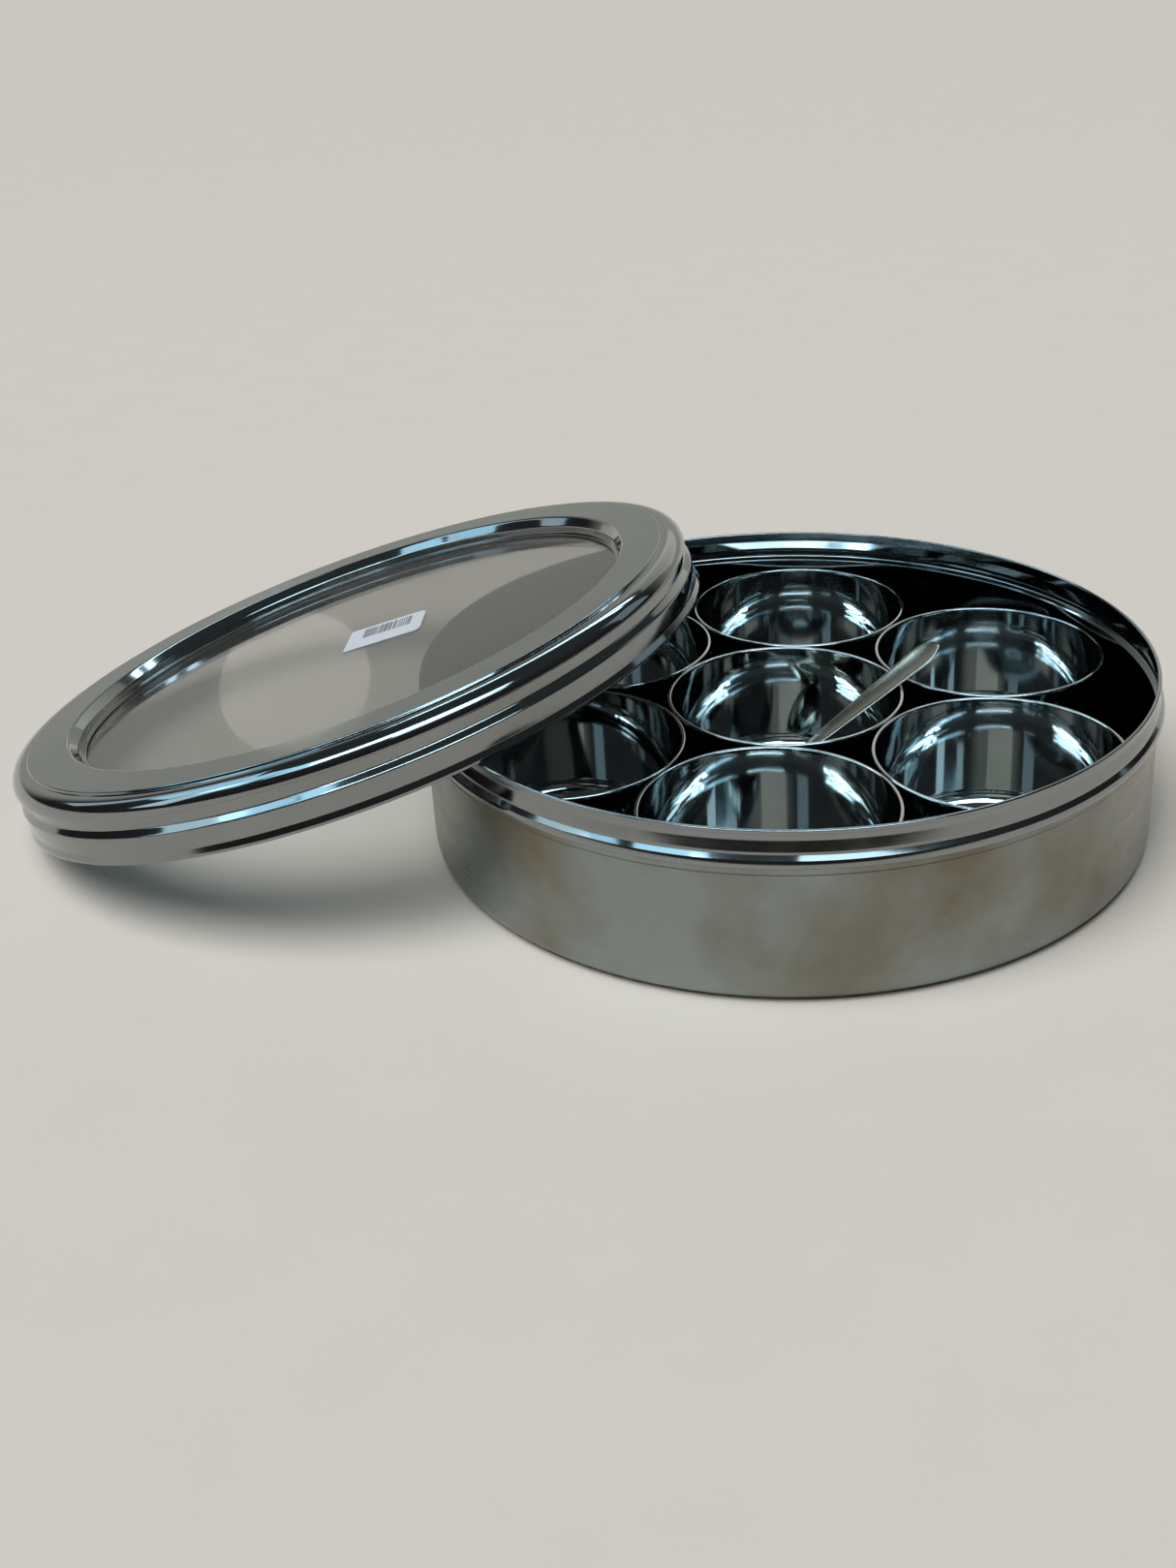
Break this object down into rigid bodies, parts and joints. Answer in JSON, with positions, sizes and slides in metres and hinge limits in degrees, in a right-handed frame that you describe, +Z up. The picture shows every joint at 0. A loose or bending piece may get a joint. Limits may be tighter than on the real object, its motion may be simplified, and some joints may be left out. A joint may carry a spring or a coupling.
{
  "type": "spice box",
  "caption": "Round stainless steel spice box: a shallow drum with loose cups and a small spoon inside, and a skirted lid with a clear round window leaning on its rim.",
  "frame": {"origin": "centre of the drum's underside, on the surface it stands on", "axes": "+Z up along the drum's axis; +Y away from the side seen in the picture; the lid leans on the rim towards -X"},
  "size_m": [0.3753, 0.26, 0.0826],
  "materials": {
    "satin_steel": "satin stainless sheet outside, polished at neck and inside",
    "polished_steel": "mirror polished stainless sheet",
    "clear_plastic": "clear, slightly smoky",
    "label_paper": "matt white adhesive paper"
  },
  "bodies": {
    "box": {"box_body": "satin_steel"},
    "lid": {"lid_ring": "polished_steel", "window_pane": "clear_plastic", "price_label": "label_paper"},
    "bowl_centre": {"bowl_centre": "polished_steel"},
    "bowl_n": {"bowl_n": "polished_steel"},
    "bowl_ne": {"bowl_ne": "polished_steel"},
    "bowl_se": {"bowl_se": "polished_steel"},
    "bowl_s": {"bowl_s": "polished_steel"},
    "bowl_sw": {"bowl_sw": "polished_steel"},
    "bowl_nw": {"bowl_nw": "polished_steel"},
    "spoon": {"spoon": "polished_steel"}
  },
  "joints": [
    {"name": "lid_lift", "type": "slide", "parent": "box", "child": "lid", "axis": [0, 0, 1], "range_m": [0, 0.11]},
    {"name": "bowl_centre_lift", "type": "slide", "parent": "box", "child": "bowl_centre", "axis": [0, 0, 1], "range_m": [0, 0.024]},
    {"name": "bowl_n_lift", "type": "slide", "parent": "box", "child": "bowl_n", "axis": [0, 0, 1], "range_m": [0, 0.065]},
    {"name": "bowl_ne_lift", "type": "slide", "parent": "box", "child": "bowl_ne", "axis": [0, 0, 1], "range_m": [0, 0.0022]},
    {"name": "bowl_se_lift", "type": "slide", "parent": "box", "child": "bowl_se", "axis": [0, 0, 1], "range_m": [0, 0.065]},
    {"name": "bowl_s_lift", "type": "slide", "parent": "box", "child": "bowl_s", "axis": [0, 0, 1], "range_m": [0, 0.065]},
    {"name": "bowl_sw_lift", "type": "slide", "parent": "box", "child": "bowl_sw", "axis": [0, 0, 1], "range_m": [0, 0.015]},
    {"name": "bowl_nw_lift", "type": "slide", "parent": "box", "child": "bowl_nw", "axis": [0, 0, 1], "range_m": [0, 0.015]},
    {"name": "spoon_lift", "type": "slide", "parent": "bowl_centre", "child": "spoon", "axis": [0, 0, 1], "range_m": [0, 0.07]}
  ]
}
